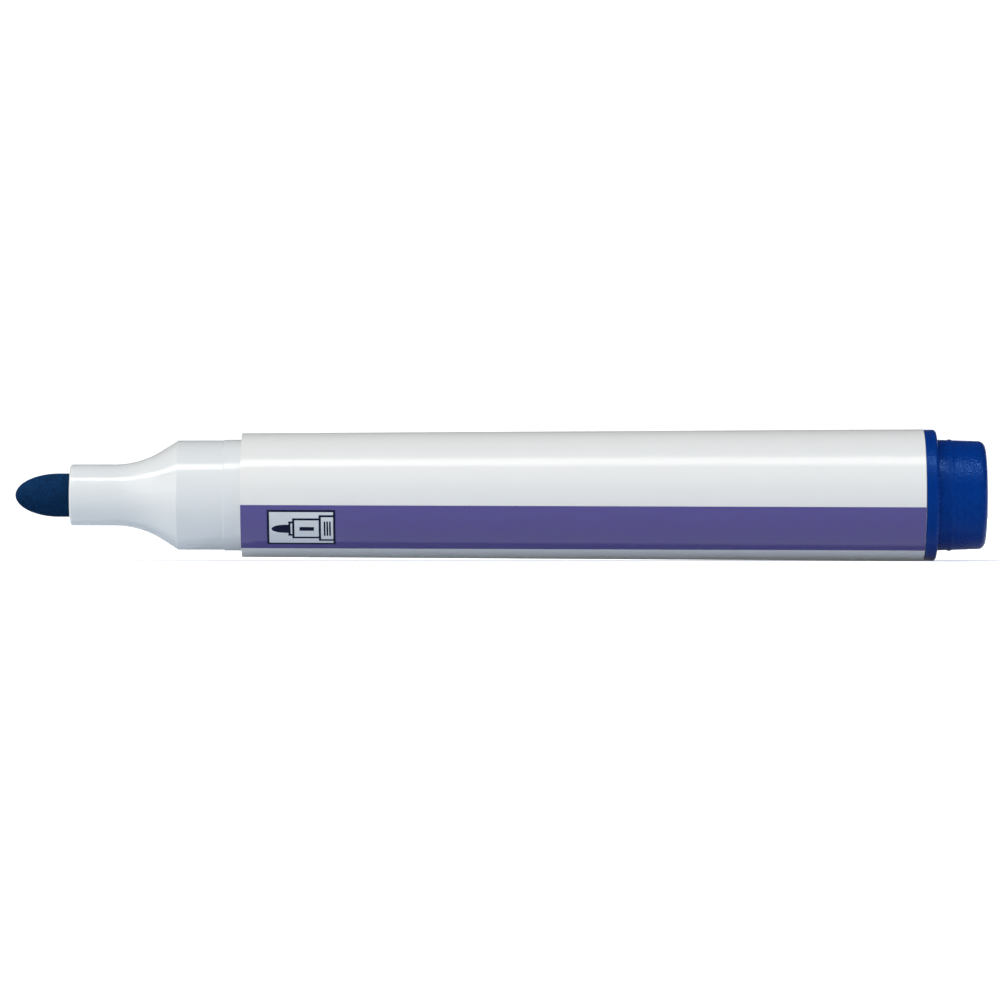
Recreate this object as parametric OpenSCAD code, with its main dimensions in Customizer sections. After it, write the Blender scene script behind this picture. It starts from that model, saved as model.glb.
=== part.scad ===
// Felt tip marker with a round fibre nib, without a cap. Sizes are in millimetres.
// Its axis lies along X: the nib points to -X and the tail to +X.
// x = 0 is the plane of the barrel's mouth, where a cap pushed over the nose would stop.

/* [Barrel] */
// Length of the barrel tube
barrel_length = 85.1; // [60:0.1:120]
// Diameter over the label at the mouth
mouth_d = 15.5; // [14:0.1:20]
// Diameter over the label at the tail, wider than the mouth by the moulding draft
tail_d = 16.5; // [14:0.05:20]
// Wall of the tube
barrel_wall = 1.1; // [0.8:0.05:1.5]
// Air gap between the tube and the reservoir, which the ribs span
air_gap = 0.95; // [0.7:0.05:1.4]
// Number of long ribs inside the tube
rib_count = 6; // [3:1:10]
// Thickness of a rib
rib_t = 0.8; // [0.4:0.05:1.2]

/* [Label] */
// Thickness of the label film wrapped round the tube
film_t = 0.08; // [0.05:0.01:0.2]
// Gap between the label's two edges, which meet at the back
seam_gap = 0.4; // [0.2:0.05:1]
// Bare margin of the tube at each end of the label
label_margin = 0.1; // [0.05:0.05:1]

/* [Nib] */
// Diameter of the fibre rod
nib_d = 5.44; // [4:0.02:7]
// Length that stands out of the nose
nib_out = 6.9; // [6:0.05:10]
// Length of the rounded point
nib_point = 5.5; // [3:0.1:6]
// Depth that the tail reaches into the reservoir
nib_depth = 7; // [4:0.5:15]
// Chamfer round the tail
nib_chamfer = 0.8; // [0.3:0.1:1.5]

/* [Front section] */
// Wall between the nib and the outside of the neck
neck_wall = 1.1; // [0.8:0.05:1.3]
// Length of the straight neck
neck_length = 5.55; // [4:0.05:12]
// Round on the neck's front rim
rim_round = 0.35; // [0.1:0.05:0.5]
// Angle of the flare to the axis
flare_angle = 32; // [25:1:45]
// Radius that blends the neck into the flare
flare_fillet = 11; // [4:0.1:12]
// Depth of the shoulder that a cap butts against
cap_step = 0.9; // [0.6:0.05:1.1]
// Length of the collar between the flare and the barrel's mouth
collar_length = 8; // [5:0.1:14]
// Width of the band that seals inside a cap
band_width = 2.3; // [1:0.1:4]
// Rise of that band over the collar
band_rise = 0.1; // [0.04:0.01:0.12]
// Wall of the flare
flare_wall = 1; // [0.8:0.05:1.3]
// Length of the spigot inside the barrel
spigot_length = 9; // [6:0.5:14]
// Rise of the snap bead on the spigot
snap_rise = 0.12; // [0.05:0.01:0.2]
// Width of that bead
snap_width = 1.2; // [0.6:0.1:2]
// Distance of that bead from the spigot's end
snap_back = 2.5; // [2:0.1:4]
// Number of fins that guide the nib and stop the reservoir
fin_count = 6; // [3:1:8]
// Thickness of a fin
fin_t = 0.7; // [0.4:0.05:1]
// Distance of the fins' rear edges behind the barrel's mouth
fin_stop = 1; // [0.5:0.1:3]
// Width of an air channel beside the nib
channel_w = 0.8; // [0.4:0.05:1.2]
// Depth of an air channel
channel_depth = 0.35; // [0.2:0.05:0.5]

/* [Reservoir] */
// Thickness of the film round the fibre rod
wrap_t = 0.1; // [0.05:0.01:0.2]

/* [End plug] */
// Thickness of the flange
flange_t = 1.6; // [1:0.1:3]
// Rise of the flange over the bare tube
flange_rise = 0.03; // [0.02:0.005:0.3]
// Round on the flange's rear edge
flange_round = 0.75; // [0.2:0.05:0.8]
// Step from the flange down to the root of the post that a cap is parked on
post_step = 1.25; // [1:0.01:2]
// Length of the post behind the flange
post_length = 6.06; // [4:0.02:12]
// Relief of the post behind its snap bead
post_relief = 0.14; // [0.05:0.01:0.3]
// Distance of the snap bead behind the flange
bead_back = 1.6; // [1:0.1:2.2]
// Rise of the snap bead over the post's root
bead_rise = 0.1; // [0.05:0.01:0.3]
// Width of that bead
bead_width = 0.7; // [0.4:0.05:1]
// Fillet at the root of the post
root_fillet = 0.3; // [0.1:0.05:0.5]
// Round on the end of the post
post_round = 0.9; // [0.3:0.05:1]
// Length of the spigot inside the barrel
plug_spigot = 8; // [5:0.5:12]
// Relief of that spigot between its two seal rings
ring_rise = 0.22; // [0.1:0.01:0.3]
// Width of a seal ring
ring_width = 1.2; // [0.8:0.1:2]
// Wall of the hollow plug
plug_wall = 1; // [0.8:0.05:1.4]
// Thickness of the plug's closed end
end_wall = 1.2; // [0.8:0.1:2]
// Thickness of the crossed ribs that hold the reservoir forward
cross_t = 0.9; // [0.6:0.1:1.5]
// Reach of the crossed ribs ahead of the spigot
cross_reach = 1.5; // [0.5:0.1:3]

/* [Fits] */
// Radial gap where two fixed pieces are pressed together
fit_gap = 0.02; // [0.01:0.005:0.05]
// Radial gap round a piece that pulls out
slide_gap = 0.03; // [0.02:0.005:0.06]
// Radial gap round the reservoir
loose_gap = 0.05; // [0.03:0.01:0.1]
// Gap at each end of the reservoir
seat_gap = 0.1; // [0.05:0.05:0.3]
// Thickness of the glue under a film
glue_t = 0.01; // [0.005:0.005:0.02]

/* [Hidden] */
$fn = 96;

// How far ribs and fins run into the wall that carries them
embed = 0.3;
// Length of the lead-in chamfers
lead_in = 0.4;
// Spare depth behind each spigot, and behind the nib's tail
seat_relief = 0.5;
// Largest share of the flare's height that its fillet may take
fillet_share = 0.9;
// Arms of the cross inside the plug
cross_arms = 4;
// Steps in a rounded corner and in the nib's point
round_steps = 8;
point_steps = 24;

// Radius over the label, along the tapered barrel
function label_r(x) = (mouth_d + (tail_d - mouth_d) * x / barrel_length) / 2;
function tube_r(x) = label_r(x) - film_t - glue_t;
function bore_r(x) = tube_r(x) - barrel_wall;

// Bore seats for the two spigots
mouth_seat_r = bore_r(0);
tail_seat_r = bore_r(barrel_length);
mouth_seat_end = spigot_length + seat_relief;
tail_seat_start = barrel_length - plug_spigot - seat_relief;

// Reservoir, and the room for it inside the front section and between the ribs
wrap_r = min(mouth_seat_r, tail_seat_r) - air_gap;
core_r = wrap_r - wrap_t - glue_t;
room_r = wrap_r + loose_gap;
reservoir_front = fin_stop + seat_gap;
cross_front = barrel_length - plug_spigot - cross_reach;
reservoir_rear = cross_front - seat_gap;

// Front section
nib_r = nib_d / 2;
nib_bore_r = nib_r + slide_gap;
neck_r = nib_bore_r + neck_wall;
collar_r = mouth_d / 2 - cap_step;
spigot_r = mouth_seat_r - fit_gap;
snap_x = spigot_length - snap_back;
flare_height = collar_r - neck_r;
fillet_r = min(flare_fillet, fillet_share * flare_height / (1 - cos(flare_angle)));
fillet_height = fillet_r * (1 - cos(flare_angle));
fillet_length = fillet_r * sin(flare_angle);
flare_length = fillet_length + (flare_height - fillet_height) / tan(flare_angle);
flare_end = -collar_length;
neck_end = flare_end - flare_length;
neck_front = neck_end - neck_length;

// Place along the axis where the inside of the flare has radius r
function flare_inside_x(r) = flare_end + flare_wall * sin(flare_angle)
    + (r - collar_r + flare_wall * cos(flare_angle)) / tan(flare_angle);

// Nib
nib_tip = neck_front - nib_out;
nib_tail = reservoir_front + nib_depth;

// End plug
flange_r = tube_r(barrel_length) + flange_rise;
flange_rear = barrel_length + flange_t;
post_root_r = flange_r - post_step;
post_r = post_root_r - post_relief;
post_end = flange_rear + post_length;
bead_x = flange_rear + bead_back;
ring_r = tail_seat_r - slide_gap;
plug_spigot_r = ring_r - ring_rise;
plug_front = barrel_length - plug_spigot;
cavity_r = min(plug_spigot_r, post_r) - plug_wall;
cavity_end = post_end - end_wall;

// Points of an arc, each as [radius, x], between two angles
function arc(centre, r, from, to, steps = round_steps) =
    [for (i = [0:steps]) let (a = from + (to - from) * i / steps) centre + r * [cos(a), sin(a)]];

// Outline of a raised bead with a flat crest, on a wall that steps from radius r to radius after
function bead(r, x, rise, width, after) =
    let (foot = width / 2, crest = width / 6)
    [[r, x - foot], [r + rise, x - crest], [r + rise, x + crest], [after, x + foot]];

// Solid of revolution about X from points given as [radius, x]
module turned(points) {
    rotate([0, 90, 0]) rotate_extrude() polygon(points);
}

// Flat plates that stand round the axis, each from the axis outwards
module plates(count, thickness, x_from, x_to, reach) {
    for (i = [0:count - 1])
        rotate([i * 360 / count, 0, 0])
            translate([x_from, -thickness / 2, 0]) cube([x_to - x_from, thickness, reach]);
}

// Tapered tube of white polypropylene, with a seat for a spigot at each end
module barrel() {
    groove = bead(mouth_seat_r, snap_x, snap_rise, snap_width + 2 * fit_gap, mouth_seat_r);
    rib_front = mouth_seat_end + seat_relief;
    rib_rear = tail_seat_start - seat_relief;
    color("#f0f1f2") {
        turned(concat(
            [[mouth_seat_r, 0], [tube_r(0), 0], [tube_r(barrel_length), barrel_length],
             [tail_seat_r + lead_in / 2, barrel_length], [tail_seat_r, barrel_length - lead_in],
             [tail_seat_r, tail_seat_start], [bore_r(tail_seat_start), tail_seat_start],
             [bore_r(mouth_seat_end), mouth_seat_end], [mouth_seat_r, mouth_seat_end]],
            [for (i = [len(groove) - 1:-1:0]) groove[i]]));
        for (i = [0:rib_count - 1])
            rotate([(i + 0.5) * 360 / rib_count, 0, 0])
                translate([0, rib_t / 2, 0]) rotate([90, 0, 0]) linear_extrude(rib_t)
                    polygon([[rib_front, room_r], [rib_rear, room_r],
                             [rib_rear, bore_r(rib_rear) + embed], [rib_front, bore_r(rib_front) + embed]]);
    }
}

// White label film, glued round the tube with its seam at the back
module barrel_label() {
    front = label_margin;
    rear = barrel_length - label_margin;
    half_seam = asin(seam_gap / 2 / label_r(barrel_length / 2));
    color("white") rotate([0, 90, 0]) rotate([0, 0, 90 + half_seam])
        rotate_extrude(angle = 360 - 2 * half_seam)
            polygon([[label_r(front) - film_t, front], [label_r(front), front],
                     [label_r(rear), rear], [label_r(rear) - film_t, rear]]);
}

// White nose: neck, flare and collar outside, and a spigot that snaps into the barrel
module front_section() {
    color("#e6eaee") difference() {
        union() {
            turned(concat(
                [[nib_bore_r, neck_front]],
                arc([neck_r - rim_round, neck_front + rim_round], rim_round, 270, 360),
                arc([neck_r + fillet_r, neck_end], fillet_r, 180, 180 - flare_angle, 2 * round_steps),
                [[collar_r, flare_end], [collar_r, -band_width],
                 [collar_r + band_rise, band_rise - band_width], [collar_r + band_rise, 0], [spigot_r, 0]],
                bead(spigot_r, snap_x, snap_rise, snap_width, spigot_r),
                [[spigot_r, spigot_length - lead_in], [spigot_r - lead_in, spigot_length],
                 [room_r, spigot_length], [room_r, flare_inside_x(room_r)],
                 [nib_bore_r, flare_inside_x(nib_bore_r)]]));
            intersection() {
                plates(fin_count, fin_t, neck_end, fin_stop, collar_r);
                turned([[0, flare_inside_x(nib_bore_r) - embed],
                        [nib_bore_r + embed, flare_inside_x(nib_bore_r) - embed],
                        [room_r + embed, flare_inside_x(room_r)], [room_r + embed, fin_stop], [0, fin_stop]]);
            }
        }
        translate([neck_front - embed, 0, 0]) rotate([0, 90, 0])
            cylinder(r = nib_bore_r, h = fin_stop - neck_front + 2 * embed);
        for (i = [0:fin_count - 1])
            rotate([(i + 0.5) * 360 / fin_count, 0, 0])
                translate([neck_front - embed, -channel_w / 2, 0])
                    cube([flare_inside_x(nib_bore_r + channel_depth) - neck_front + embed,
                          channel_w, nib_bore_r + channel_depth]);
    }
}

// Fibre rod with a rounded writing point, soaked with ink
module nib() {
    color("#14284e") turned(concat(
        [for (i = [0:point_steps]) let (a = 90 * i / point_steps)
            [nib_r * sin(a), nib_tip + nib_point * (1 - cos(a))]],
        [[nib_r, nib_tail - nib_chamfer], [nib_r - nib_chamfer, nib_tail], [0, nib_tail]]));
}

// Fibre rod that holds the ink, with a pocket for the nib's tail
module ink_reservoir() {
    color("#274a8c") turned([
        [core_r, reservoir_front], [core_r, reservoir_rear], [0, reservoir_rear],
        [0, nib_tail + seat_relief], [nib_bore_r, nib_tail + seat_relief], [nib_bore_r, reservoir_front]]);
}

// Clear film round the reservoir
module reservoir_wrap() {
    color("#c9d6e6") turned([
        [wrap_r - wrap_t, reservoir_front], [wrap_r, reservoir_front],
        [wrap_r, reservoir_rear], [wrap_r - wrap_t, reservoir_rear]]);
}

// Hollow blue plug: spigot with two seal rings, flange, and the post that a cap is parked on
module end_plug() {
    color("#0b3f88") {
        turned(concat(
            [[cavity_r, plug_front], [plug_spigot_r - lead_in, plug_front],
             [plug_spigot_r, plug_front + lead_in]],
            [for (x = [plug_front + plug_spigot / 4, barrel_length - plug_spigot / 4])
                each bead(plug_spigot_r, x, ring_rise, ring_width, plug_spigot_r)],
            [[plug_spigot_r, barrel_length], [flange_r, barrel_length]],
            arc([flange_r - flange_round, flange_rear - flange_round], flange_round, 0, 90),
            arc([post_root_r + root_fillet, flange_rear + root_fillet], root_fillet, 270, 180),
            bead(post_root_r, bead_x, bead_rise, bead_width, post_r),
            arc([post_r - post_round, post_end - post_round], post_round, 0, 90),
            [[0, post_end], [0, cavity_end], [cavity_r, cavity_end]]));
        intersection() {
            plates(cross_arms, cross_t, cross_front, post_end, flange_r);
            turned([[0, cross_front], [core_r - embed, cross_front], [core_r - embed, plug_front + embed],
                    [cavity_r + embed, plug_front + 2 * embed], [cavity_r + embed, cavity_end + embed],
                    [0, cavity_end + embed]]);
        }
    }
}

barrel();
barrel_label();
front_section();
nib();
ink_reservoir();
reservoir_wrap();
end_plug();
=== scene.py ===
import math

import bmesh
import bpy
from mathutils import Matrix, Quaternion, Vector


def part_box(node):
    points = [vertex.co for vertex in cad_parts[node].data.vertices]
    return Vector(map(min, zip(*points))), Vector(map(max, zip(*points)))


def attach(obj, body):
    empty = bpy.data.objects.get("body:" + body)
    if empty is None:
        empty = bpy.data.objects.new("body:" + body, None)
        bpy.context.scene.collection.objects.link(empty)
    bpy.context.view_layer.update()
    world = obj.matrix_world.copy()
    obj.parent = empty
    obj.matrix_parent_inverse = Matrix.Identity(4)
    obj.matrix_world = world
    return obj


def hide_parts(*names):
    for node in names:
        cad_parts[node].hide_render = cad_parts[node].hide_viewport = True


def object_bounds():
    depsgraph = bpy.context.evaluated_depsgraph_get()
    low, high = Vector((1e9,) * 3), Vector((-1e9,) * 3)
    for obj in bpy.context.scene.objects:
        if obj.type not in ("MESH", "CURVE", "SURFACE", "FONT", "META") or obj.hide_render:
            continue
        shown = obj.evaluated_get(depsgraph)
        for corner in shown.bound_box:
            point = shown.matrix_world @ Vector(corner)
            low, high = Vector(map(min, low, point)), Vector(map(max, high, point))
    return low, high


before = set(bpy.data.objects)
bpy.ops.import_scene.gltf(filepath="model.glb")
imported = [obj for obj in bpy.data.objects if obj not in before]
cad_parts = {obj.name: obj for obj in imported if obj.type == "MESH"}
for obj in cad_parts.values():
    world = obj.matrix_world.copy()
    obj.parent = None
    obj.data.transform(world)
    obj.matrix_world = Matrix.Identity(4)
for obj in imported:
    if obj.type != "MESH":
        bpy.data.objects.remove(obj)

cad_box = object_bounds()

# Ink reservoir: a rod of bundled polyester fibre, soaked with blue ink, which wets the nib's tail.
# It is cut from a drawn rod and lies between the barrel's ribs, out of sight.
MM = 0.001


def linear(code):
    """Linear colour of an sRGB hex code."""
    channels = [int(code[i:i + 2], 16) / 255 for i in (1, 3, 5)]
    return [c / 12.92 if c <= 0.04045 else ((c + 0.055) / 1.055) ** 2.4 for c in channels] + [1.0]


def add(tree, kind, inputs=None, **settings):
    """Adds a node. An input, given by name or number, is a value, another node or one of its outputs."""
    made = tree.nodes.new(kind)
    for name, value in settings.items():
        setattr(made, name, value)
    for socket, value in (inputs or {}).items():
        if isinstance(value, bpy.types.Node):
            value = value.outputs[0]
        if isinstance(value, bpy.types.NodeSocket):
            tree.links.new(value, made.inputs[socket])
        else:
            made.inputs[socket].default_value = value
    return made


def new_material(name, **values):
    """An empty material with plain values on its shader; returns it with its tree and shader."""
    made = bpy.data.materials.new(name)
    made.use_nodes = True
    shader = made.node_tree.nodes["Principled BSDF"]
    for socket, value in values.items():
        shader.inputs[socket.replace("_", " ")].default_value = value
    return made, made.node_tree, shader


# Ink-soaked polyester fibre: fine streaks along the rod, lighter where the ink has run thin.
# A fibre is 0.02 mm thick; the streaks are drawn as bundles of 0.2 mm so that they show.
FIBRE_BUNDLE, FIBRE_RUN, STREAK_DEPTH = 0.2 * MM, 6 * MM, 0.05 * MM
SOAKED_BLUE, THIN_BLUE = "#1a3876", "#3f68b4"
soaked_fibre, tree, shader = new_material("ink_soaked_polyester_fibre", Roughness=0.75, IOR=1.5)
place = add(tree, "ShaderNodeTexCoord").outputs["Object"]
along = add(tree, "ShaderNodeMapping",
            {"Vector": place, "Scale": (1 / FIBRE_RUN, 1 / FIBRE_BUNDLE, 1 / FIBRE_BUNDLE)})
streaks = add(tree, "ShaderNodeTexNoise", {"Vector": along, "Scale": 1.0, "Detail": 3.0})
tint = add(tree, "ShaderNodeMix",
           {0: streaks.outputs["Fac"], 6: linear(SOAKED_BLUE), 7: linear(THIN_BLUE)}, data_type="RGBA")
tree.links.new(tint.outputs[2], shader.inputs["Base Color"])
relief = add(tree, "ShaderNodeBump",
             {"Height": streaks.outputs["Fac"], "Strength": 0.4, "Distance": STREAK_DEPTH})
tree.links.new(relief.outputs[0], shader.inputs["Normal"])
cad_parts["ink_reservoir"].data.materials.clear()
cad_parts["ink_reservoir"].data.materials.append(soaked_fibre)

# Reservoir wrap: clear polypropylene film, 0.1 mm thick, heat-sealed round the fibre rod.
# It keeps the ink off the air gap, so its ends stay open.
WRINKLE_RUN, WRINKLE_WIDTH, WRINKLE_DEPTH = 8 * MM, 1.2 * MM, 0.1 * MM
WRAP_SHADE, WRAP_LIGHT = "#b9c9de", "#dbe5f0"
# Clear film: a cool tint, glossy, with the long wrinkles of a film drawn over a soft rod.
clear_film, tree, shader = new_material(
    "clear_polypropylene_film", Roughness=0.2, IOR=1.49, Transmission_Weight=0.6)
place = add(tree, "ShaderNodeTexCoord").outputs["Object"]
along = add(tree, "ShaderNodeMapping",
            {"Vector": place, "Scale": (1 / WRINKLE_RUN, 1 / WRINKLE_WIDTH, 1 / WRINKLE_WIDTH)})
wrinkles = add(tree, "ShaderNodeTexNoise", {"Vector": along, "Scale": 1.0, "Detail": 2.0})
tint = add(tree, "ShaderNodeMix",
           {0: wrinkles.outputs["Fac"], 6: linear(WRAP_SHADE), 7: linear(WRAP_LIGHT)}, data_type="RGBA")
tree.links.new(tint.outputs[2], shader.inputs["Base Color"])
relief = add(tree, "ShaderNodeBump",
             {"Height": wrinkles.outputs["Fac"], "Strength": 0.3, "Distance": WRINKLE_DEPTH})
tree.links.new(relief.outputs[0], shader.inputs["Normal"])
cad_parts["reservoir_wrap"].data.materials.clear()
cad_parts["reservoir_wrap"].data.materials.append(clear_film)

# Barrel: a tapered tube with six inner ribs, injection moulded in white polypropylene.
# Only its ends show, and a thin line of it at the label's seam. The nose and the plug push into it.
TUBE_FRONT_R, TUBE_REAR_R, TUBE_WALL, TUBE_ROUND = 7.66, 8.16, 1.1, 0.2
MOUTH_SEAT_END, TAIL_SEAT_START, TAIL_LEAD = 9.5, 76.6, 0.4
GROOVE_X, GROOVE_DEPTH, GROOVE_FOOT, GROOVE_CREST = 6.5, 0.12, 0.62, 0.207
RIB_COUNT, RIB_T, RIB_R, RIB_SINK, RIB_MARGIN = 6, 0.8, 5.66, 0.3, 0.5
TUBE_SEGMENTS = 288
SWEEP_R, WELD, SHARP_ANGLE = 1.0, 1e-4 * MM, 25
FLOW_SIZE, SKIN_SIZE, SKIN_DEPTH, GLOSS_SPREAD = 5 * MM, 0.6 * MM, 0.01 * MM, 0.2


def polypropylene(name, light, shade, roughness, gleam):
    """Moulded polypropylene: an even colour with faint flow marks and a skin like fine orange peel."""
    made, tree, shader = new_material(name, IOR=1.49, Specular_IOR_Level=gleam)
    place = add(tree, "ShaderNodeTexCoord").outputs["Object"]
    flow = add(tree, "ShaderNodeTexNoise", {"Vector": place, "Scale": 1 / FLOW_SIZE, "Detail": 2.0})
    tint = add(tree, "ShaderNodeMix",
               {0: flow.outputs["Fac"], 6: linear(shade), 7: linear(light)}, data_type="RGBA")
    tree.links.new(tint.outputs[2], shader.inputs["Base Color"])
    gloss = add(tree, "ShaderNodeMapRange",
                {"Value": flow.outputs["Fac"], "To Min": roughness * (1 - GLOSS_SPREAD),
                 "To Max": roughness * (1 + GLOSS_SPREAD)})
    tree.links.new(gloss.outputs[0], shader.inputs["Roughness"])
    skin = add(tree, "ShaderNodeTexNoise", {"Vector": place, "Scale": 1 / SKIN_SIZE, "Detail": 1.0})
    relief = add(tree, "ShaderNodeBump",
                 {"Height": skin.outputs["Fac"], "Strength": 0.1, "Distance": SKIN_DEPTH})
    tree.links.new(relief.outputs[0], shader.inputs["Normal"])
    return made


def sockets(tree, inputs, output):
    """Gives a new tree its named inputs and its one output."""
    for name, kind in inputs:
        tree.interface.new_socket(name, in_out="INPUT", socket_type="NodeSocket" + kind)
    tree.interface.new_socket(output, in_out="OUTPUT", socket_type="NodeSocketGeometry")
    return add(tree, "NodeGroupInput").outputs


# Tree for a turned piece: an outline of radius and place along the axis, swept round the axis.
# The sweep follows a ring of radius SWEEP_R, so the outline's radii are given less that.
turning = bpy.data.node_groups.new("turned_piece", "GeometryNodeTree")
given = sockets(turning, (("Outline", "Geometry"), ("Segments", "Int"), ("Whole Ring", "Bool"),
                          ("Start", "Float"), ("Sweep", "Float"), ("Material", "Material")), "Piece")
outline = add(turning, "GeometryNodeMeshToCurve", {"Mesh": given["Outline"]})
ring = add(turning, "GeometryNodeCurvePrimitiveCircle",
           {"Resolution": given["Segments"], "Radius": SWEEP_R * MM}, mode="RADIUS")
bow = add(turning, "GeometryNodeCurveArc",
          {"Resolution": given["Segments"], "Radius": SWEEP_R * MM,
           "Start Angle": given["Start"], "Sweep Angle": given["Sweep"]}, mode="RADIUS")
path = add(turning, "GeometryNodeSwitch",
           {"Switch": given["Whole Ring"], "False": bow, "True": ring}, input_type="GEOMETRY")
swept = add(turning, "GeometryNodeCurveToMesh",
            {"Curve": path, "Profile Curve": outline, "Fill Caps": True})
laid = add(turning, "GeometryNodeTransform", {"Geometry": swept, "Rotation": (0, -math.pi / 2, 0)})
joined = add(turning, "GeometryNodeMergeByDistance", {"Geometry": laid, "Distance": WELD})
real = add(turning, "GeometryNodeRealizeInstances", {"Geometry": joined})
coated = add(turning, "GeometryNodeSetMaterial", {"Geometry": real, "Material": given["Material"]})
add(turning, "NodeGroupOutput", {"Piece": coated})

# Tree for flat plates that stand round the axis at equal angles.
plating = bpy.data.node_groups.new("plates_round_axis", "GeometryNodeTree")
given = sockets(plating, (("Plate", "Geometry"), ("Count", "Int"), ("Start", "Float"),
                          ("Material", "Material")), "Plates")
spots = add(plating, "GeometryNodeMeshLine", {"Count": given["Count"], "Offset": (0, 0, 0)})
step = add(plating, "ShaderNodeMath", {0: 2 * math.pi, 1: given["Count"]}, operation="DIVIDE")
index = add(plating, "GeometryNodeInputIndex")
angle = add(plating, "ShaderNodeMath", {0: index, 1: step, 2: given["Start"]}, operation="MULTIPLY_ADD")
spin = add(plating, "ShaderNodeCombineXYZ", {"X": angle})
placed = add(plating, "GeometryNodeInstanceOnPoints",
             {"Points": spots, "Instance": given["Plate"], "Rotation": spin})
real = add(plating, "GeometryNodeRealizeInstances", {"Geometry": placed})
coated = add(plating, "GeometryNodeSetMaterial", {"Geometry": real, "Material": given["Material"]})
add(plating, "NodeGroupOutput", {"Plates": coated})


def grow(name, seed, tree, sizes):
    """The plain mesh that a node tree makes of a seed mesh and its named sizes, as an object."""
    piece = bpy.data.objects.new(name, seed)
    bpy.context.scene.collection.objects.link(piece)
    modifier = piece.modifiers.new(tree.name, "NODES")
    modifier.node_group = tree
    for socket in tree.interface.items_tree:
        if socket.in_out == "INPUT" and socket.name in sizes:
            modifier[socket.identifier] = sizes[socket.name]
    shaped = piece.evaluated_get(bpy.context.evaluated_depsgraph_get())
    mesh = bpy.data.meshes.new_from_object(shaped)
    piece.modifiers.clear()
    piece.data = mesh
    mesh.name = name
    return piece


def turned(name, outline, material, segments, hollow=True, start=0.0, sweep=360.0):
    """A turned piece from points of radius and place in mm; hollow joins the last point to the first."""
    seed = bpy.data.meshes.new(name + "_outline")
    edges = [(i, i + 1) for i in range(len(outline) - 1)]
    if hollow:
        edges.append((len(outline) - 1, 0))
    seed.from_pydata([((r - SWEEP_R) * MM, x * MM, 0) for r, x in outline], edges, [])
    return grow(name, seed, turning, {
        "Segments": segments, "Whole Ring": sweep == 360.0, "Start": math.radians(start),
        "Sweep": math.radians(sweep), "Material": material})


def plates(name, outline, thickness, count, material, start=0.0):
    """Equal plates round the axis; the outline of the first stands in the XZ plane, as (z, x) in mm."""
    sides = [[(x * MM, side * thickness * MM / 2, z * MM) for z, x in outline] for side in (-1, 1)]
    n = len(outline)
    faces = [tuple(range(n)), tuple(range(2 * n - 1, n - 1, -1))]
    faces += [(i, n + i, n + (i + 1) % n, (i + 1) % n) for i in range(n)]
    seed = bpy.data.meshes.new(name)
    seed.from_pydata(sides[0] + sides[1], [], faces)
    return grow(name, seed, plating, {"Count": count, "Start": math.radians(start), "Material": material})


def arc(centre_r, centre_x, radius, start, end, steps=8):
    """Points of an arc in an outline, between two angles from the radial direction."""
    angles = [math.radians(start + (end - start) * i / steps) for i in range(steps + 1)]
    return [(centre_r + radius * math.cos(a), centre_x + radius * math.sin(a)) for a in angles]


def finish_mesh(piece, *extras):
    """Joins extra pieces into a mesh, closes it, turns its faces outwards and smooths its rounds."""
    shell = bmesh.new()
    for part in (piece, *extras):
        shell.from_mesh(part.data)
    bmesh.ops.remove_doubles(shell, verts=shell.verts, dist=WELD)
    bmesh.ops.recalc_face_normals(shell, faces=shell.faces)
    shell.to_mesh(piece.data)
    shell.free()
    for part in extras:
        bpy.data.objects.remove(part)
    piece.data.shade_smooth()
    piece.data.set_sharp_from_angle(angle=math.radians(SHARP_ANGLE))


# White polypropylene: satin, neutral white.
white_plastic = polypropylene(
    "white_moulded_polypropylene", light="#f0f1f2", shade="#e8eaec", roughness=0.2, gleam=0.3)
TUBE_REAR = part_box("barrel")[1].x / MM


def tube_r(x):
    """Radius of the tapered tube at a place along it."""
    return TUBE_FRONT_R + (TUBE_REAR_R - TUBE_FRONT_R) * x / TUBE_REAR


mouth_r = TUBE_FRONT_R - TUBE_WALL
tail_r = TUBE_REAR_R - TUBE_WALL
tube = turned("barrel_tube", [
    (mouth_r, 0), *arc(TUBE_FRONT_R - TUBE_ROUND, TUBE_ROUND, TUBE_ROUND, 270, 360),
    *arc(TUBE_REAR_R - TUBE_ROUND, TUBE_REAR - TUBE_ROUND, TUBE_ROUND, 0, 90),
    (tail_r + TAIL_LEAD / 2, TUBE_REAR), (tail_r, TUBE_REAR - TAIL_LEAD), (tail_r, TAIL_SEAT_START),
    (tube_r(TAIL_SEAT_START) - TUBE_WALL, TAIL_SEAT_START),
    (tube_r(MOUTH_SEAT_END) - TUBE_WALL, MOUTH_SEAT_END), (mouth_r, MOUTH_SEAT_END),
    (mouth_r, GROOVE_X + GROOVE_FOOT), (mouth_r + GROOVE_DEPTH, GROOVE_X + GROOVE_CREST),
    (mouth_r + GROOVE_DEPTH, GROOVE_X - GROOVE_CREST), (mouth_r, GROOVE_X - GROOVE_FOOT)],
    white_plastic, TUBE_SEGMENTS)
rib_ends = (MOUTH_SEAT_END + RIB_MARGIN, TAIL_SEAT_START - RIB_MARGIN)
ribs = plates("ribs", [
    (RIB_R, rib_ends[0]), (RIB_R, rib_ends[1]),
    (tube_r(rib_ends[1]) - TUBE_WALL + RIB_SINK, rib_ends[1]),
    (tube_r(rib_ends[0]) - TUBE_WALL + RIB_SINK, rib_ends[0])],
    RIB_T, RIB_COUNT, white_plastic, start=180 / RIB_COUNT)
finish_mesh(tube, ribs)
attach(tube, "barrel")
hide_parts("barrel")

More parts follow.
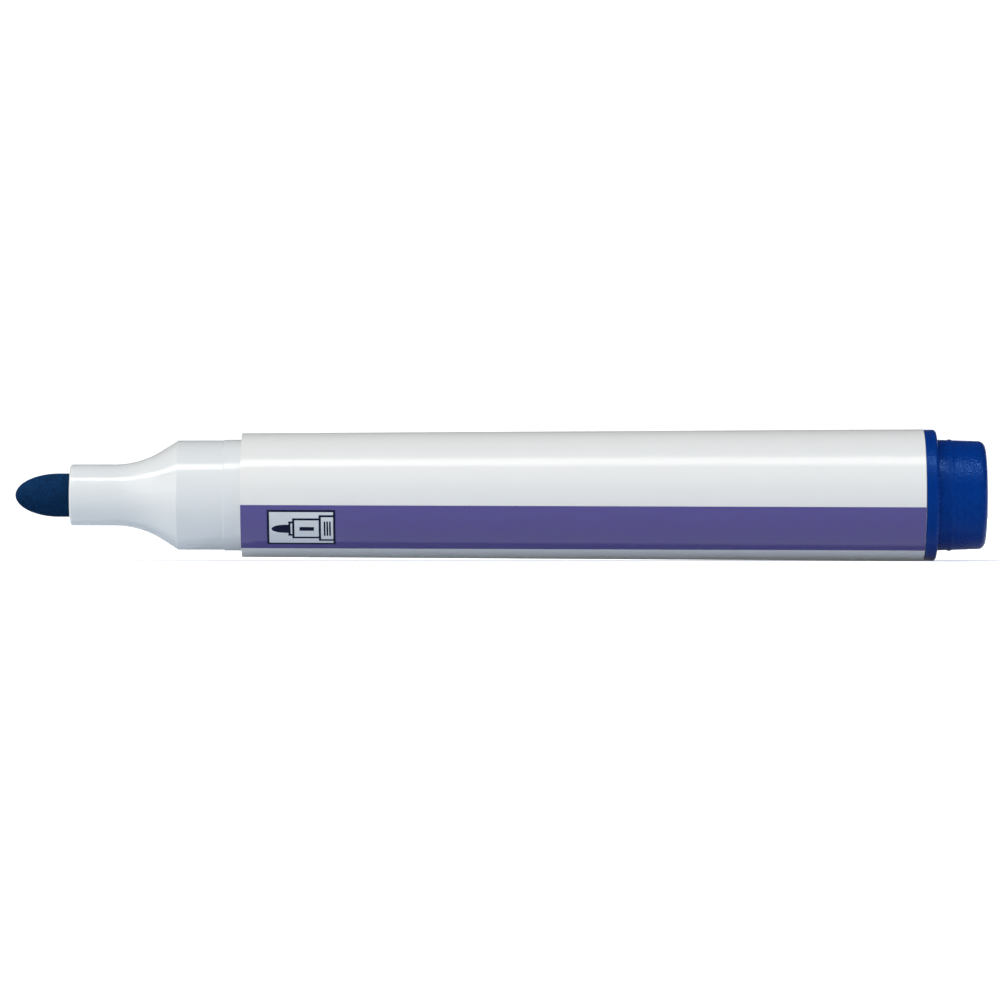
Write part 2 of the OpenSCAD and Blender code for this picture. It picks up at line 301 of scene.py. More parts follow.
# Barrel label: white plastic film, 0.08 mm thick, printed flat and glued round the barrel.
# Its edges meet at the back. It covers the edge of the barrel's mouth and stops just short of its tail.
LABEL_FRONT, LABEL_REAR = (corner.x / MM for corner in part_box("barrel_label"))
FILM_T, GLUE_T, FRONT_REACH = 0.08, 0.01, 0.12
SEAM_PLACE, SEAM_ANGLE = 90, 2.9
LABEL_SEGMENTS = 480
STRIPE_ANGLE, STRIPE_HALF = 33.7, 3.33
PANEL, PANEL_LIFT = (3.27, 11.76, 2.57), 0.15
PRINT_LINE = 0.28

# Printed gloss film: a smooth bright skin over flat colour, with the faint waves of the glue below.
# The dark ink is printed last, on top of the gloss, and is matt.
# The print is laid out in mm: x along the barrel, and girth from the middle of the stripe.
GLUE_WAVE, WAVE_DEPTH = 4 * MM, 0.01 * MM
FILM_GLEAM, INK_GLEAM, FILM_ROUGHNESS = 0.5, 0.06, (0.14, 0.18)
FILM_WHITE, STRIPE_VIOLET, PANEL_WHITE, INK_NAVY = "#e8ebeb", "#403589", "#d5dde4", "#041133"
film, tree, shader = new_material("printed_gloss_label_film", IOR=1.5)
place = add(tree, "ShaderNodeTexCoord").outputs["Object"]
place_mm = add(tree, "ShaderNodeVectorMath", {0: place, "Scale": 1 / MM}, operation="SCALE")
axes = add(tree, "ShaderNodeSeparateXYZ", {0: place_mm})
across = add(tree, "ShaderNodeVectorMath", {0: place_mm, 1: (0, 1, 1)}, operation="MULTIPLY")
radius = add(tree, "ShaderNodeVectorMath", {0: across}, operation="LENGTH").outputs["Value"]
down = add(tree, "ShaderNodeMath", {0: axes.outputs["Z"], 1: -1.0}, operation="MULTIPLY")
ahead = add(tree, "ShaderNodeMath", {0: axes.outputs["Y"], 1: -1.0}, operation="MULTIPLY")
turn = add(tree, "ShaderNodeMath", {0: down, 1: ahead}, operation="ARCTAN2")
off_stripe = add(tree, "ShaderNodeMath", {0: turn, 1: math.radians(STRIPE_ANGLE)}, operation="SUBTRACT")
girth = add(tree, "ShaderNodeMath", {0: off_stripe, 1: radius}, operation="MULTIPLY")
rise = add(tree, "ShaderNodeMath", {0: girth, 1: PANEL_LIFT}, operation="ADD")


def printed_box(front, rear, half):
    """Mask of a printed rectangle in the panel, half its height to each side of the panel's middle."""
    reach = add(tree, "ShaderNodeMath",
                {0: axes.outputs["X"], 1: (front + rear) / 2, 2: (rear - front) / 2}, operation="COMPARE")
    height = add(tree, "ShaderNodeMath", {0: rise, 1: 0.0, 2: half}, operation="COMPARE")
    return add(tree, "ShaderNodeMath", {0: reach, 1: height}, operation="MULTIPLY")


def printed_frame(front, rear, half):
    """Mask of a rectangle's outline, one printed line wide."""
    outside = printed_box(front, rear, half)
    inside = printed_box(front + PRINT_LINE, rear - PRINT_LINE, half - PRINT_LINE)
    return add(tree, "ShaderNodeMath", {0: outside, 1: inside}, operation="SUBTRACT")


# The panel shows a plain pen point: nib, neck, holder with a bar as wide as a stroke, and ridged grip.
# Each rectangle is given by its front, its rear and half its height.
POINT_TIP, POINT_END, POINT_HALF, POINT_FULLNESS = 3.84, 6.0, 0.6, 2.8
NECK_FRAME, HOLDER_FRAME, GRIP_FRAME = (5.92, 6.68, 1.06), (6.4, 9.97, 1.48), (9.69, 11.76, 1.91)
STROKE_BAR = (7.3, 9.1, 0.28)
RIDGES, RIDGE_T, RIDGE_HALF = (10.32, 10.65, 10.98), 0.21, 1.05
slant = add(tree, "ShaderNodeMath", {0: POINT_END, 1: axes.outputs["X"]}, operation="SUBTRACT")
slant = add(tree, "ShaderNodeMath", {0: slant, 1: 1 / (POINT_END - POINT_TIP)}, operation="MULTIPLY")
slant = add(tree, "ShaderNodeMath", {0: slant, 1: POINT_FULLNESS}, operation="POWER")
bulge = add(tree, "ShaderNodeMath", {0: rise, 1: 1 / POINT_HALF}, operation="MULTIPLY")
bulge = add(tree, "ShaderNodeMath", {0: bulge, 1: 2.0}, operation="POWER")
spread = add(tree, "ShaderNodeMath", {0: slant, 1: bulge}, operation="ADD")
bullet = add(tree, "ShaderNodeMath", {0: spread, 1: 1.0}, operation="LESS_THAN")
before = add(tree, "ShaderNodeMath", {0: axes.outputs["X"], 1: POINT_END}, operation="LESS_THAN")
ink = add(tree, "ShaderNodeMath", {0: bullet, 1: before}, operation="MULTIPLY")
marks = [printed_frame(*frame_sizes) for frame_sizes in (PANEL, NECK_FRAME, HOLDER_FRAME, GRIP_FRAME)]
marks += [printed_box(x, x + RIDGE_T, RIDGE_HALF) for x in RIDGES]
marks.append(printed_box(*STROKE_BAR))
for mark in marks:
    ink = add(tree, "ShaderNodeMath", {0: ink, 1: mark}, operation="MAXIMUM")
stripe = add(tree, "ShaderNodeMath", {0: girth, 1: 0.0, 2: STRIPE_HALF}, operation="COMPARE")
tint = add(tree, "ShaderNodeMix",
           {0: stripe, 6: linear(FILM_WHITE), 7: linear(STRIPE_VIOLET)}, data_type="RGBA")
tint = add(tree, "ShaderNodeMix",
           {0: printed_box(*PANEL), 6: tint.outputs[2], 7: linear(PANEL_WHITE)}, data_type="RGBA")
tint = add(tree, "ShaderNodeMix", {0: ink, 6: tint.outputs[2], 7: linear(INK_NAVY)}, data_type="RGBA")
tree.links.new(tint.outputs[2], shader.inputs["Base Color"])
gleam = add(tree, "ShaderNodeMapRange", {"Value": ink, "To Min": FILM_GLEAM, "To Max": INK_GLEAM})
tree.links.new(gleam.outputs[0], shader.inputs["Specular IOR Level"])
waves = add(tree, "ShaderNodeTexNoise", {"Vector": place, "Scale": 1 / GLUE_WAVE, "Detail": 1.0})
gloss = add(tree, "ShaderNodeMapRange",
            {"Value": waves.outputs["Fac"], "To Min": FILM_ROUGHNESS[0], "To Max": FILM_ROUGHNESS[1]})
tree.links.new(gloss.outputs[0], shader.inputs["Roughness"])
relief = add(tree, "ShaderNodeBump",
             {"Height": waves.outputs["Fac"], "Strength": 0.15, "Distance": WAVE_DEPTH})
tree.links.new(relief.outputs[0], shader.inputs["Normal"])

film_inner = [(tube_r(x) + GLUE_T, x) for x in (LABEL_FRONT - FRONT_REACH, LABEL_REAR)]
film_outer = [(r + FILM_T, x) for r, x in reversed(film_inner)]
label = turned("printed_label", film_inner + film_outer, film, LABEL_SEGMENTS,
               start=SEAM_PLACE + SEAM_ANGLE / 2, sweep=360 - SEAM_ANGLE)
finish_mesh(label)
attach(label, "barrel")
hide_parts("barrel_label")

# Front section: the white nose, moulded in one with its neck, flare, collar and seal band.
# Its spigot snaps into the barrel, and six fins inside guide the nib and stop the reservoir.
NIB_BORE_R = 2.75
NECK_FRONT, NECK_END, NECK_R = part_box("front_section")[0].x / MM, -15.955, 3.85
RIM_ROUND, BORE_ROUND = 0.35, 0.12
FLARE_ANGLE, FLARE_FILLET, FLARE_STEPS = 32, 11.0, 24
COLLAR_FRONT, COLLAR_R, COLLAR_ROUND = -8.0, 6.85, 0.25
BAND_FRONT, BAND_R = -2.3, 6.95
SPIGOT_R, SPIGOT_END, SPIGOT_LEAD = 6.54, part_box("front_section")[1].x / MM, 0.4
SNAP_X, SNAP_R, SNAP_FOOT, SNAP_CREST = 6.5, 6.66, 0.6, 0.2
ROOM_R, ROOM_FRONT, BORE_END = 5.66, -8.02, -12.67
FIN_COUNT, FIN_T, FIN_REAR, FIN_SINK = 6, 0.7, 1.0, 0.3
CHANNEL_W, CHANNEL_DEPTH, BORE_MARGIN = 0.8, 0.35, 0.01
NOSE_SEGMENTS = 288

# Cool white polypropylene: a clean mould polish, so one sharp line of light runs along it.
nose_plastic = polypropylene(
    "cool_white_moulded_polypropylene", light="#e4e9eb", shade="#dee4e7", roughness=0.13, gleam=0.5)
edge_shift = COLLAR_ROUND * math.tan(math.radians(FLARE_ANGLE / 2))
nose = turned("nose", [
    *arc(NIB_BORE_R + BORE_ROUND, NECK_FRONT + BORE_ROUND, BORE_ROUND, 180, 270),
    *arc(NECK_R - RIM_ROUND, NECK_FRONT + RIM_ROUND, RIM_ROUND, 270, 360),
    *arc(NECK_R + FLARE_FILLET, NECK_END, FLARE_FILLET, 180, 180 - FLARE_ANGLE, FLARE_STEPS),
    *arc(COLLAR_R - COLLAR_ROUND, COLLAR_FRONT + edge_shift, COLLAR_ROUND, -FLARE_ANGLE, 0),
    (COLLAR_R, BAND_FRONT), (BAND_R, BAND_FRONT + BAND_R - COLLAR_R), (BAND_R, 0), (SPIGOT_R, 0),
    (SPIGOT_R, SNAP_X - SNAP_FOOT), (SNAP_R, SNAP_X - SNAP_CREST), (SNAP_R, SNAP_X + SNAP_CREST),
    (SPIGOT_R, SNAP_X + SNAP_FOOT), (SPIGOT_R, SPIGOT_END - SPIGOT_LEAD),
    (SPIGOT_R - SPIGOT_LEAD, SPIGOT_END), (ROOM_R, SPIGOT_END), (ROOM_R, ROOM_FRONT),
    (NIB_BORE_R, BORE_END)], nose_plastic, NOSE_SEGMENTS)
# Six air channels run along the bore beside the nib and open at the rim.
channel_half = math.asin(CHANNEL_W / 2 / NIB_BORE_R)
for vertex in nose.data.vertices:
    reach = math.hypot(vertex.co.y, vertex.co.z)
    turn_on = math.atan2(vertex.co.y, vertex.co.z) % (2 * math.pi / FIN_COUNT) - math.pi / FIN_COUNT
    if reach < (NIB_BORE_R + BORE_ROUND + BORE_MARGIN) * MM and abs(turn_on) < channel_half:
        vertex.co.y *= 1 + CHANNEL_DEPTH * MM / reach
        vertex.co.z *= 1 + CHANNEL_DEPTH * MM / reach
fins = plates("fins", [
    (NIB_BORE_R, BORE_END), (ROOM_R + FIN_SINK, ROOM_FRONT), (ROOM_R + FIN_SINK, FIN_REAR),
    (NIB_BORE_R, FIN_REAR)], FIN_T, FIN_COUNT, nose_plastic)
finish_mesh(nose, fins)
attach(nose, "barrel")
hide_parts("front_section")

# Nib: a rod of bonded felt fibre, ground to a rounded point and soaked with blue ink.
# It is pushed into the neck, with its tail in the reservoir, and can be pulled out.
NIB_TIP, NIB_TAIL = (corner.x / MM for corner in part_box("nib"))
NIB_R, NIB_POINT, NIB_CHAMFER = 2.71, 5.5, 0.8
FELT_RISE, RIM_GAP = 0.03, 0.2
FELT_LUMP, LUMP_SIZE = 0.025, 0.6
FIBRE_LENGTH, FIBRE_T, FIBRE_LIFT = 0.6, 0.03, 0.012
FIBRE_SINK, FIBRE_PEAK, FIBRE_STEPS, FIBRE_SIDES = -1.5, 2.0, 4, 3
FIBRE_SWING, FIBRE_SHADES = 1.5, (0.1, 1.0)
FIBRES_PER_MM2, FIBRE_SEED = 40, 7
NIB_SEGMENTS, POINT_STEPS, SHAFT_STEPS = 160, 40, 10

# Ink-soaked bonded felt: matt, with painted shade that makes it nearly black in the hollows, and bluer
# loose fibres on top.
# A real fibre is 0.02 mm thick; the patches of 0.3 mm stand for tufts, so that the felt shows.
FELT_PATCH, PATCH_DEPTH, SHADE_RANGE = 0.3 * MM, 0.05 * MM, (0.35, 1.4)
HOLLOW_SHADE_BLUE, FIBRE_BLUE = "#082342", "#114172"
felt, tree, shader = new_material("ink_soaked_bonded_felt", Roughness=0.9, Specular_IOR_Level=0.05)
place = add(tree, "ShaderNodeTexCoord").outputs["Object"]
patches = add(tree, "ShaderNodeTexNoise", {"Vector": place, "Scale": 1 / FELT_PATCH, "Detail": 3.0})
loose = add(tree, "ShaderNodeAttribute", attribute_name="shade")
mixed = add(tree, "ShaderNodeMath", {0: patches.outputs["Fac"], 1: loose.outputs["Fac"]}, operation="ADD")
# Painted shade: the lower a patch of the bump, the darker the felt; each loose fibre adds its own random
# tone.
hollow_shade_and_tone = add(tree, "ShaderNodeMapRange",
            {"Value": mixed, "From Min": SHADE_RANGE[0], "From Max": SHADE_RANGE[1]})
tint = add(tree, "ShaderNodeMix",
           {0: hollow_shade_and_tone, 6: linear(HOLLOW_SHADE_BLUE), 7: linear(FIBRE_BLUE)}, data_type="RGBA")
tree.links.new(tint.outputs[2], shader.inputs["Base Color"])
relief = add(tree, "ShaderNodeBump",
             {"Height": patches.outputs["Fac"], "Strength": 0.4, "Distance": PATCH_DEPTH})
tree.links.new(relief.outputs[0], shader.inputs["Normal"])

# Tree for the felt: soft lumps over the part that shows, and short fibres lying along it.
felting = bpy.data.node_groups.new("felt_surface", "GeometryNodeTree")
given = sockets(felting, (
    ("Rod", "Geometry"), ("Bare To", "Float"), ("Lump", "Float"), ("Lump Size", "Float"),
    ("Length", "Float"), ("Thickness", "Float"), ("Lift", "Float"), ("Density", "Float"),
    ("Seed", "Int"), ("Material", "Material")), "Felt")
spot = add(felting, "GeometryNodeInputPosition")
ahead = add(felting, "ShaderNodeSeparateXYZ", {0: spot})
bare = add(felting, "ShaderNodeMath",
           {0: ahead.outputs["X"], 1: given["Bare To"]}, operation="LESS_THAN")
rate = add(felting, "ShaderNodeMath", {0: 1.0, 1: given["Lump Size"]}, operation="DIVIDE")
lumps = add(felting, "ShaderNodeTexNoise", {"Vector": spot, "Scale": rate, "Detail": 2.0})
sunk = add(felting, "ShaderNodeMath",
           {0: lumps.outputs["Fac"], 1: given["Lump"]}, operation="MULTIPLY")
inward = add(felting, "ShaderNodeMath", {0: sunk, 1: -1.0}, operation="MULTIPLY")
push = add(felting, "ShaderNodeVectorMath",
           {0: add(felting, "GeometryNodeInputNormal"), "Scale": inward}, operation="SCALE")
body = add(felting, "GeometryNodeSetPosition",
           {"Geometry": given["Rod"], "Selection": bare, "Offset": push})
roots = add(felting, "GeometryNodeDistributePointsOnFaces",
            {"Mesh": body, "Selection": bare, "Density": given["Density"], "Seed": given["Seed"]})
upright = add(felting, "FunctionNodeAlignRotationToVector",
              {"Vector": roots.outputs["Normal"]}, axis="Z")
along = add(felting, "FunctionNodeAlignRotationToVector",
            {"Rotation": upright, "Vector": (1, 0, 0)}, axis="X", pivot_axis="Z")
swing = add(felting, "FunctionNodeRandomValue",
            {2: -FIBRE_SWING, 3: FIBRE_SWING, "Seed": given["Seed"]}, data_type="FLOAT")
twist = add(felting, "ShaderNodeCombineXYZ", {"Z": swing.outputs[1]})
turned_fibre = add(felting, "FunctionNodeRotateRotation",
                   {"Rotation": along, "Rotate By": twist}, rotation_space="LOCAL")
shade = add(felting, "FunctionNodeRandomValue",
            {2: FIBRE_SHADES[0], 3: FIBRE_SHADES[1], "Seed": given["Seed"]}, data_type="FLOAT")
shaded = add(felting, "GeometryNodeStoreNamedAttribute",
             {"Geometry": roots, "Name": "shade", "Value": shade.outputs[1]},
             data_type="FLOAT", domain="POINT")
half = add(felting, "ShaderNodeMath", {0: given["Length"], 1: 0.5}, operation="MULTIPLY")
back = add(felting, "ShaderNodeMath", {0: half, 1: -1.0}, operation="MULTIPLY")
sink = add(felting, "ShaderNodeMath", {0: given["Lift"], 1: FIBRE_SINK}, operation="MULTIPLY")
peak = add(felting, "ShaderNodeMath", {0: given["Lift"], 1: FIBRE_PEAK}, operation="MULTIPLY")
strand = add(felting, "GeometryNodeCurveQuadraticBezier", {
    "Resolution": FIBRE_STEPS,
    "Start": add(felting, "ShaderNodeCombineXYZ", {"X": back, "Z": sink}),
    "Middle": add(felting, "ShaderNodeCombineXYZ", {"Y": given["Lift"], "Z": peak}),
    "End": add(felting, "ShaderNodeCombineXYZ", {"X": half, "Z": sink})})
thick = add(felting, "ShaderNodeMath", {0: given["Thickness"], 1: 0.5}, operation="MULTIPLY")
section = add(felting, "GeometryNodeCurvePrimitiveCircle",
              {"Resolution": FIBRE_SIDES, "Radius": thick}, mode="RADIUS")
fibre = add(felting, "GeometryNodeCurveToMesh",
            {"Curve": strand, "Profile Curve": section, "Fill Caps": True})
strewn = add(felting, "GeometryNodeInstanceOnPoints",
             {"Points": shaded, "Instance": fibre, "Rotation": turned_fibre})
both = add(felting, "GeometryNodeJoinGeometry")
felting.links.new(strewn.outputs[0], both.inputs[0])
felting.links.new(body.outputs[0], both.inputs[0])
real = add(felting, "GeometryNodeRealizeInstances", {"Geometry": both})
coated = add(felting, "GeometryNodeSetMaterial", {"Geometry": real, "Material": given["Material"]})
add(felting, "NodeGroupOutput", {"Felt": coated})

point = [(NIB_R * math.sin(a), NIB_TIP + FELT_RISE + NIB_POINT * (1 - math.cos(a)))
         for a in (math.pi / 2 * i / POINT_STEPS for i in range(POINT_STEPS + 1))]
point_end = point[-1][1]
bare_to = NECK_FRONT - RIM_GAP
shaft = [(NIB_R, point_end + (bare_to - point_end) * i / SHAFT_STEPS) for i in range(1, SHAFT_STEPS + 1)]
rod = turned("felt_rod", [
    *point, *shaft, (NIB_R, NIB_TAIL - NIB_CHAMFER), (NIB_R - NIB_CHAMFER, NIB_TAIL), (0, NIB_TAIL)],
    felt, NIB_SEGMENTS, hollow=False)
finish_mesh(rod)
nib = grow("felt_nib", rod.data, felting, {
    "Bare To": bare_to * MM, "Lump": FELT_LUMP * MM, "Lump Size": LUMP_SIZE * MM,
    "Length": FIBRE_LENGTH * MM, "Thickness": FIBRE_T * MM, "Lift": FIBRE_LIFT * MM,
    "Density": FIBRES_PER_MM2 / MM ** 2, "Seed": FIBRE_SEED, "Material": felt})
bpy.data.objects.remove(rod)
finish_mesh(nib)
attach(nib, "nib")
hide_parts("nib")

# End plug: a hollow blue plug with a flange, and a post and bead that a cap can be parked on.
# It is moulded in polypropylene, pushed into the barrel on two seal rings, and can be pulled out.
PLUG_FRONT, PLUG_SPIGOT_R, PLUG_LEAD = 77.1, 6.81, 0.4
SEAL_PLACES, SEAL_R, SEAL_FOOT, SEAL_CREST = (79.1, 83.1), 7.03, 0.6, 0.2
FLANGE_FRONT, FLANGE_REAR, FLANGE_R, FLANGE_ROUND = 85.1, 86.6, 8.19, 0.4
ROOT_R, ROOT_FILLET = 6.94, 0.15
BEAD_X, BEAD_RISE, BEAD_FOOT, BEAD_STEPS = 88.3, 0.11, 0.45, 12
POST_R, POST_END, POST_ROUND = 6.76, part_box("end_plug")[1].x / MM, 0.9
GATE_R, GATE_DEPTH = 1.1, 0.12
CAVITY_R, CAVITY_END = 5.8, 91.56
CROSS_FRONT, CROSS_R, CROSS_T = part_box("end_plug")[0].x / MM, 5.2, 0.9
CROSS_ARMS, CROSS_SINK = 4, 0.3
PLUG_SEGMENTS = 288

# Spark-eroded polypropylene: deep blue and matt, with a grain whose facets glint one by one and are
# painted lighter too.
# The real grit is about 0.05 mm, and is drawn at 0.26 mm so that it shows.
# The mould was turned, so faint rings about 0.7 mm apart run round the post.
GRAIN_SIZE, GRAIN_DEPTH, GRAIN_ROUGHNESS = 0.26 * MM, 0.06 * MM, (0.4, 0.1)
RING_PITCH, RING_DEPTH = 0.7 * MM, 0.06 * MM
GLINT_RANGE, PAINTED_GLINT_SHARE, GLINT_BLUE = (0.4, 0.6), 0.4, "#73b3ff"
PLUG_SHADE, PLUG_LIGHT = "#00256b", "#01368b"
plug_plastic, tree, shader = new_material(
    "spark_eroded_blue_polypropylene", IOR=1.49, Specular_IOR_Level=0.16,
    Specular_Tint=linear(GLINT_BLUE))
place = add(tree, "ShaderNodeTexCoord").outputs["Object"]
grain = add(tree, "ShaderNodeTexNoise", {"Vector": place, "Scale": 1 / GRAIN_SIZE, "Detail": 1.0})
grit = add(tree, "ShaderNodeBump",
           {"Height": grain.outputs["Fac"], "Strength": 1.0, "Distance": GRAIN_DEPTH})
along = add(tree, "ShaderNodeMapping", {"Vector": place, "Scale": (1 / RING_PITCH, 0.0, 0.0)})
rings = add(tree, "ShaderNodeTexNoise", {"Vector": along, "Scale": 1.0, "Detail": 3.0})
relief = add(tree, "ShaderNodeBump",
             {"Height": rings.outputs["Fac"], "Strength": 0.4, "Distance": RING_DEPTH, "Normal": grit})
tree.links.new(relief.outputs[0], shader.inputs["Normal"])
glints = add(tree, "ShaderNodeMapRange",
             {"Value": grain.outputs["Fac"], "From Min": GLINT_RANGE[0], "From Max": GLINT_RANGE[1]})
# Painted glint: the base colour is lighter at the facets that glint, and a little along the turned rings.
shade = add(tree, "ShaderNodeMath",
            {0: glints, 1: PAINTED_GLINT_SHARE, 2: rings.outputs["Fac"]}, operation="MULTIPLY_ADD")
tint = add(tree, "ShaderNodeMix",
           {0: shade, 6: linear(PLUG_SHADE), 7: linear(PLUG_LIGHT)}, data_type="RGBA")
tree.links.new(tint.outputs[2], shader.inputs["Base Color"])
gloss = add(tree, "ShaderNodeMapRange",
            {"Value": glints, "To Min": GRAIN_ROUGHNESS[0], "To Max": GRAIN_ROUGHNESS[1]})
tree.links.new(gloss.outputs[0], shader.inputs["Roughness"])

# The post tapers towards its end, and the bead is a low smooth swell on it.
POST_TAPER = (POST_R - ROOT_R) / (POST_END - POST_ROUND - FLANGE_REAR)
swell = [1 - 2 * i / BEAD_STEPS for i in range(BEAD_STEPS + 1)]
bead = [(ROOT_R + POST_TAPER * (BEAD_X + BEAD_FOOT * t - FLANGE_REAR) + BEAD_RISE * (1 - t * t) ** 2,
         BEAD_X + BEAD_FOOT * t) for t in swell]
plug_outline = [
    (0, POST_END - GATE_DEPTH), (GATE_R - GATE_DEPTH, POST_END - GATE_DEPTH), (GATE_R, POST_END),
    *arc(POST_R - POST_ROUND, POST_END - POST_ROUND, POST_ROUND, 90, 0), *bead,
    *arc(ROOT_R + ROOT_FILLET, FLANGE_REAR + ROOT_FILLET, ROOT_FILLET, 180, 270),
    *arc(FLANGE_R - FLANGE_ROUND, FLANGE_REAR - FLANGE_ROUND, FLANGE_ROUND, 90, 0),
    (FLANGE_R, FLANGE_FRONT), (PLUG_SPIGOT_R, FLANGE_FRONT)]
for x in reversed(SEAL_PLACES):
    plug_outline += [(PLUG_SPIGOT_R, x + SEAL_FOOT), (SEAL_R, x + SEAL_CREST), (SEAL_R, x - SEAL_CREST),
                     (PLUG_SPIGOT_R, x - SEAL_FOOT)]
plug_outline += [(PLUG_SPIGOT_R, PLUG_FRONT + PLUG_LEAD), (PLUG_SPIGOT_R - PLUG_LEAD, PLUG_FRONT),
                 (CAVITY_R, PLUG_FRONT), (CAVITY_R, CAVITY_END), (0, CAVITY_END)]
plug = turned("tail_plug", plug_outline, plug_plastic, PLUG_SEGMENTS, hollow=False)
# The arms of the stiffening cross run a little past the axis and a little into the plug's wall.
cross = plates("plug_cross", [
    (-CROSS_SINK, CROSS_FRONT), (CROSS_R, CROSS_FRONT), (CROSS_R, PLUG_FRONT + CROSS_SINK),
    (CAVITY_R + CROSS_SINK, PLUG_FRONT + 2 * CROSS_SINK),
    (CAVITY_R + CROSS_SINK, CAVITY_END + CROSS_SINK), (-CROSS_SINK, CAVITY_END + CROSS_SINK)],
    CROSS_T, CROSS_ARMS, plug_plastic)
finish_mesh(plug, cross)
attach(plug, "end_plug")
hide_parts("end_plug")

# Floor: a plain white table that the marker lies on, with a low white wall far round it.
# Part of its white is its own glow, for the eye and for gloss alone. It fades in the shadow's place,
# from just before the line of contact to behind the marker, and most of all under the plug.
FLOOR_Z = cad_box[0].z
FLOOR_R, WALL_HEIGHT, WALL_SIDES = 3.0, 0.6, 64
SHADOW_FRONT, SHADOW_BACK, SHADOW_ENDS = -4.75 * MM, 5.0 * MM, (-21.0 * MM, cad_box[1].x)
SHADOW_GLOW, PLUG_GLOW, SHADOW_EDGE = 0.22, 0.08, 0.5 * MM
NOSE_SLANT, NOSE_START, TAIL_SLANT = 0.23, 2.0 * MM, 1.0
BACK_FADE, END_FADE = 0.04, 0.06
BOARD_WHITE, GLOW_WHITE = "#d2dae4", "#ffffff"
edge = [math.tau * i / WALL_SIDES for i in range(WALL_SIDES)]
corners = [(FLOOR_R * math.cos(a), FLOOR_R * math.sin(a), z)
           for z in (FLOOR_Z, FLOOR_Z + WALL_HEIGHT) for a in edge]
wall = [(WALL_SIDES + i, WALL_SIDES + (i + 1) % WALL_SIDES, (i + 1) % WALL_SIDES, i)
        for i in range(WALL_SIDES)]
floor_mesh = bpy.data.meshes.new("floor")
floor_mesh.from_pydata(corners, [], [range(WALL_SIDES)] + wall)
floor = bpy.data.objects.new("floor", floor_mesh)
bpy.context.scene.collection.objects.link(floor)
# Matt white board: bright, without gloss.
board, tree, shader = new_material(
    "matt_white_board", Roughness=1.0, Specular_IOR_Level=0.0, Base_Color=linear(BOARD_WHITE),
    Emission_Color=linear(GLOW_WHITE))
ray = add(tree, "ShaderNodeLightPath").outputs
seen = add(tree, "ShaderNodeMath",
           {0: ray["Is Camera Ray"], 1: ray["Is Glossy Ray"]}, operation="MAXIMUM")
seen = add(tree, "ShaderNodeMath", {0: seen, 1: ray["Is Transmission Ray"]}, operation="MAXIMUM")
place = add(tree, "ShaderNodeTexCoord").outputs["Object"]
axes = add(tree, "ShaderNodeSeparateXYZ", {0: place}).outputs
# The shadow's front edge slants back beside the nose and beyond the tail.
outside = add(tree, "ShaderNodeMath", {0: SHADOW_FRONT, 1: axes["Y"]}, operation="SUBTRACT")
for slope, limit in ((-NOSE_SLANT, NOSE_START), (TAIL_SLANT, SHADOW_ENDS[1])):
    slant = add(tree, "ShaderNodeMath",
                {0: axes["X"], 1: slope, 2: -slope * limit}, operation="MULTIPLY_ADD")
    slant = add(tree, "ShaderNodeMath", {0: slant, 1: 0.0}, operation="MAXIMUM")
    outside = add(tree, "ShaderNodeMath", {0: outside, 1: slant}, operation="ADD")
# Behind the marker and at its ends it fades out slowly.
for axis, slope, limit in (("Y", BACK_FADE, SHADOW_BACK), ("X", -END_FADE, SHADOW_ENDS[0]),
                           ("X", END_FADE, SHADOW_ENDS[1])):
    beyond = add(tree, "ShaderNodeMath",
                 {0: axes[axis], 1: slope, 2: -slope * limit}, operation="MULTIPLY_ADD")
    outside = add(tree, "ShaderNodeMath", {0: outside, 1: beyond}, operation="MAXIMUM")
under_plug = add(tree, "ShaderNodeMapRange",
                 {"Value": axes["X"], "From Min": FLANGE_FRONT * MM, "From Max": FLANGE_REAR * MM})
dimmed = add(tree, "ShaderNodeMapRange",
             {"Value": under_plug, "To Min": SHADOW_GLOW, "To Max": PLUG_GLOW})
white = add(tree, "ShaderNodeMapRange",
            {"Value": outside, "From Max": SHADOW_EDGE, "To Min": dimmed})
glow = add(tree, "ShaderNodeMath", {0: seen, 1: white}, operation="MULTIPLY")
tree.links.new(glow.outputs[0], shader.inputs["Emission Strength"])
floor_mesh.materials.append(board)

# Studio: a dim room, wide soft walls of light round the marker, and a strip of light above its front.
# The strip is in four lengths and shows only in gloss, as one line of light along the marker.
ROOM_LIGHT, ROOM_WHITE = 0.05, "#ffffff"
MARKER_MIDDLE = Vector(((cad_box[0].x + cad_box[1].x) / 2, 0, 0))
world = bpy.data.worlds.new("studio")
bpy.context.scene.world = world
world.use_nodes = True
room = world.node_tree.nodes["Background"].inputs
room["Color"].default_value = linear(ROOM_WHITE)
room["Strength"].default_value = ROOM_LIGHT


def softbox(name, azimuth, elevation, distance, width, height, radiance, tint,
            roll=0.0, shift=0.0, in_gloss=True, in_shade=True):
    """A flat lamp that faces the marker; azimuth turns from the front to the marker's tail."""
    lamp = bpy.data.lights.new(name, "AREA")
    lamp.shape = "RECTANGLE"
    lamp.size = width
    lamp.size_y = height
    lamp.energy = radiance * width * height * math.pi
    lamp.color = linear(tint)[:3]
    holder = bpy.data.objects.new(name, lamp)
    a, e = math.radians(azimuth), math.radians(elevation)
    towards = Vector((math.sin(a) * math.cos(e), -math.cos(a) * math.cos(e), math.sin(e)))
    holder.location = MARKER_MIDDLE + distance * towards
    holder.location.x += shift
    aim = towards.to_track_quat("Z", "Y") @ Quaternion((0, 0, 1), math.radians(roll))
    holder.rotation_euler = aim.to_euler()
    holder.visible_camera = False
    holder.visible_glossy = in_gloss
    holder.visible_diffuse = in_shade
    bpy.context.scene.collection.objects.link(holder)


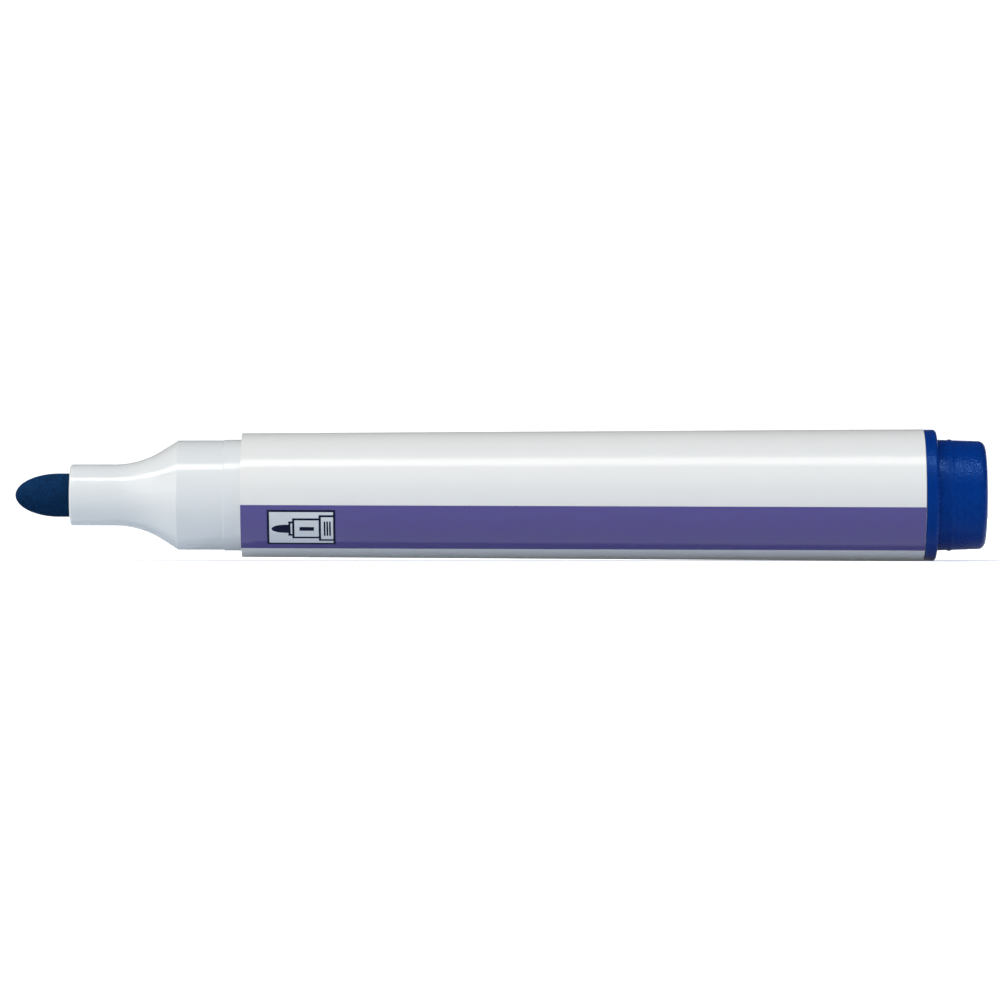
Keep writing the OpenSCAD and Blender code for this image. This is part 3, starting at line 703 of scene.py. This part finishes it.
# The walls at the left and behind stay out of gloss, where the plug's grain would show them as specks.
softbox("key_wall", azimuth=-46, elevation=36, distance=1.8, width=1.7, height=2.2,
        radiance=1.87, tint="#fff8ef")
softbox("front_wall", azimuth=0, elevation=31, distance=1.5, width=0.6, height=1.0,
        radiance=1.3, tint="#fffaf2")
softbox("left_wall", azimuth=-85, elevation=36, distance=1.5, width=0.9, height=0.9,
        radiance=2.6, tint="#ffffff", in_gloss=False)
softbox("fill_wall", azimuth=45, elevation=42, distance=1.8, width=1.2, height=1.2,
        radiance=2.7, tint="#edf3ff")
softbox("back_wall", azimuth=165, elevation=15, distance=1.8, width=1.6, height=0.9,
        radiance=3.8, tint="#ffffff", in_gloss=False)
# The strip is bright over the plug, wide over the barrel and thin over the nose.
# Past the nib it bends back, so that the flare mirrors it too.
STRIP_RISE, STRIP_DISTANCE, STRIP_TINT = 62.5, 1.0, "#fffdf8"
for name, width, height, radiance, shift in (
        ("plug_strip", 0.16, 0.29, 26.0, 0.24),
        ("barrel_strip", 0.18, 0.29, 4.0, 0.022),
        ("nose_strip", 0.42, 0.2, 7.0, -0.278)):
    softbox(name, azimuth=0, elevation=STRIP_RISE, distance=STRIP_DISTANCE, width=width, height=height,
            radiance=radiance, tint=STRIP_TINT, shift=shift, in_shade=False)
softbox("bent_strip", azimuth=-70, elevation=48, distance=STRIP_DISTANCE, width=0.62, height=0.15,
        radiance=7.0, tint=STRIP_TINT, roll=34, shift=-0.045, in_shade=False)

# Camera: level with the marker and square to it, at the distance that gives the photograph's outline.
# Its long lens fills the frame with the marker from end to end.
CAMERA_DISTANCE, CAMERA_DROP = 0.86, 0.61 * MM
LENS, SENSOR, NEAREST = 247.7, 36, 0.01
camera = bpy.data.cameras.new("camera")
camera.lens = LENS
camera.sensor_width = SENSOR
camera.clip_start = NEAREST
eye = bpy.data.objects.new("camera", camera)
eye.location = MARKER_MIDDLE + Vector((0, -CAMERA_DISTANCE, -CAMERA_DROP))
eye.rotation_euler = (math.pi / 2, 0, 0)
bpy.context.scene.collection.objects.link(eye)
bpy.context.scene.camera = eye
bpy.context.scene.view_settings.view_transform = "Standard"
